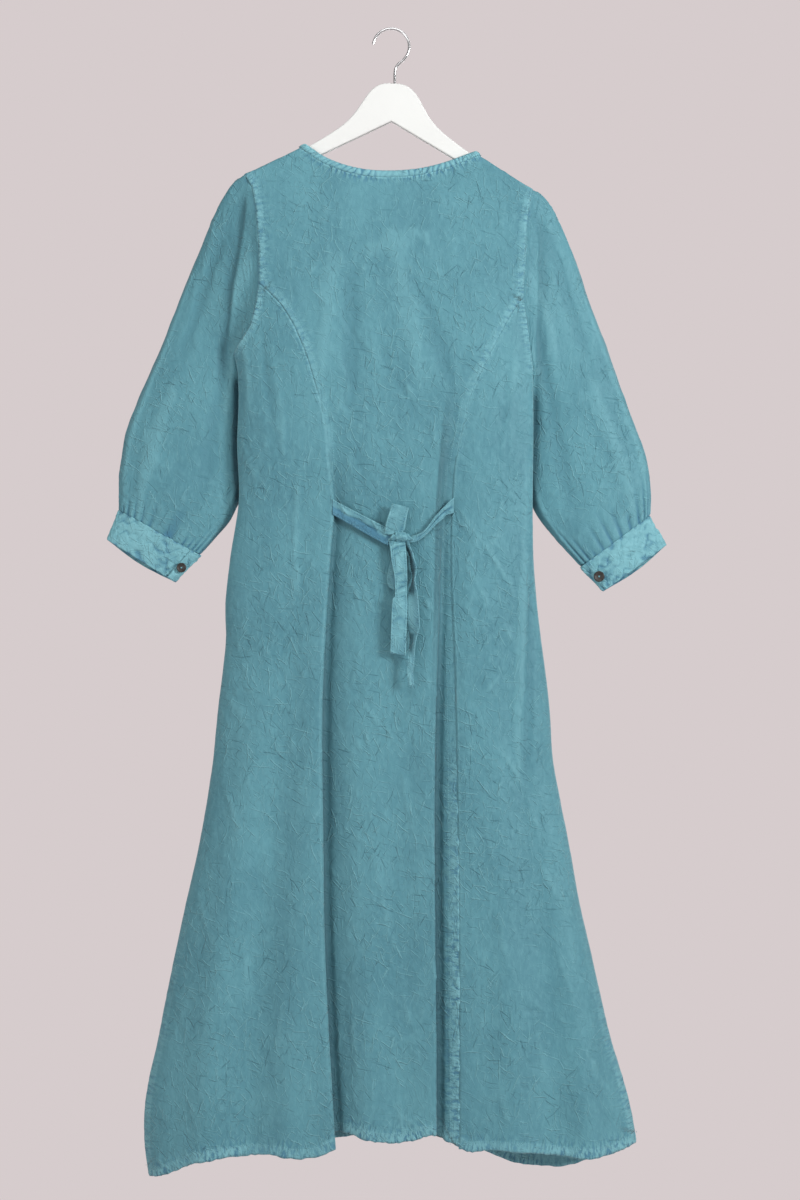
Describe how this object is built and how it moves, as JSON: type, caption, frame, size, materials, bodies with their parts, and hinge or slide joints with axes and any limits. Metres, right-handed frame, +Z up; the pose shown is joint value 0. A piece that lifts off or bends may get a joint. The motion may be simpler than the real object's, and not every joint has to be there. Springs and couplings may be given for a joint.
{
  "type": "maxi dress on a clothes hanger",
  "caption": "Long garment-dyed teal dress with bishop sleeves and a tied back, hanging on a flat white hanger with a wire hook.",
  "frame": {"origin": "inner top of the hook, where it rests on a rail", "axes": "+Z up along the hanging dress, -Y out of its back, +X to the right seen from the back"},
  "size_m": [0.7671, 0.1461, 1.5668],
  "materials": {
    "dress_cloth": "washed, finely crinkled woven cloth",
    "band_cloth": "doubled and stitched cloth, rubbed paler by washing",
    "button_wood": "dark, satin",
    "hanger_paint": "white satin paint on flat wood",
    "hook_chrome": "bright plated wire"
  },
  "bodies": {
    "root": {"back_centre": "dress_cloth", "back_side_left": "dress_cloth", "back_side_right": "dress_cloth", "front": "dress_cloth", "sleeve_left": "dress_cloth", "sleeve_right": "dress_cloth", "tie_strap_left": "dress_cloth", "tie_strap_right": "dress_cloth", "tie_tail_flat": "dress_cloth", "tie_tail_twisted": "dress_cloth", "tie_loop_up": "dress_cloth", "tie_loop_low": "dress_cloth", "tie_knot": "dress_cloth", "neck_binding": "band_cloth", "cuff_left": "band_cloth", "cuff_right": "band_cloth", "button_left": "button_wood", "button_right": "button_wood", "hanger": "hanger_paint", "hook": "hook_chrome"}
  },
  "joints": []
}
